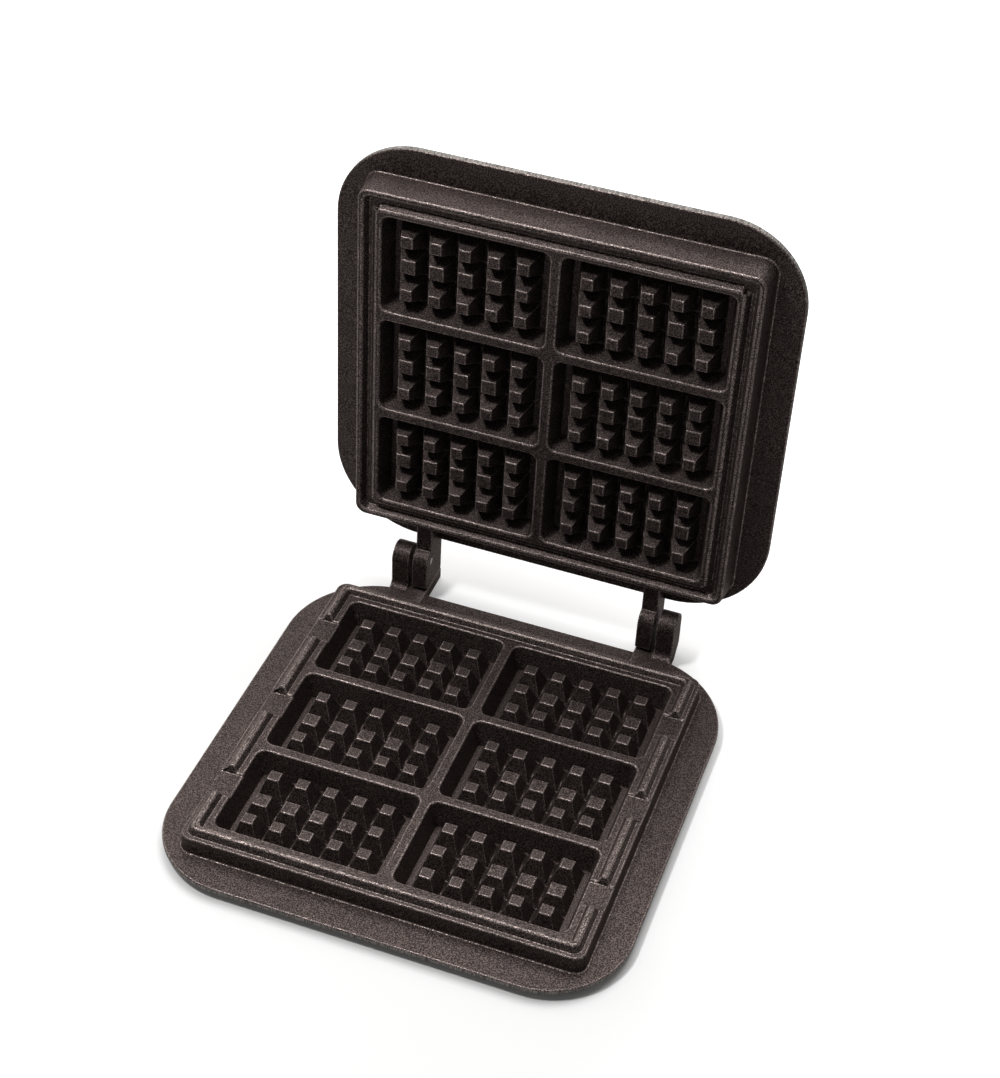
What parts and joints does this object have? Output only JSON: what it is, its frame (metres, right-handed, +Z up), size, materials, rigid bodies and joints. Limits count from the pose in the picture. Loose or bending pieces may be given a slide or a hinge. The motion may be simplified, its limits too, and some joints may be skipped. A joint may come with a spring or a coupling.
{
  "type": "hinged waffle plate pair",
  "caption": "Open pair of cast, coated waffle plates on rear knuckle hinges, with peg-grid pockets, a sealing rib and channels for flat sticks.",
  "frame": {"origin": "on the table, under the centre of the lower plate's waffle pattern", "axes": "+X to the right along the hinge axis, +Y to the rear where the hinges are, +Z up"},
  "size_m": [0.3034, 0.3319, 0.3348],
  "materials": {
    "lower_casting": "dark satin non-stick coating over a cast surface",
    "upper_casting": "dark satin non-stick coating over a cast surface",
    "pin_steel": "bright drawn steel"
  },
  "bodies": {
    "base": {"lower_floor": "lower_casting", "lower_front_rim": "lower_casting", "lower_rear_rim": "lower_casting", "lower_left_rim": "lower_casting", "lower_right_rim": "lower_casting", "lower_centre_bar": "lower_casting", "lower_cross_bars": "lower_casting", "lower_pegs": "lower_casting", "left_knuckle": "lower_casting", "right_knuckle": "lower_casting", "left_hinge_pin": "pin_steel", "right_hinge_pin": "pin_steel"},
    "lid": {"upper_back": "upper_casting", "upper_front_rim": "upper_casting", "upper_rear_rim": "upper_casting", "upper_left_rim": "upper_casting", "upper_right_rim": "upper_casting", "upper_centre_bar": "upper_casting", "upper_cross_bars": "upper_casting", "upper_pegs": "upper_casting", "left_arm": "upper_casting", "right_arm": "upper_casting"}
  },
  "joints": [
    {"name": "lid_hinge", "type": "hinge", "parent": "base", "child": "lid", "pos_m": [0, 0.158, 0.03], "axis": [1, 0, 0], "range_deg": [0, 92]}
  ]
}
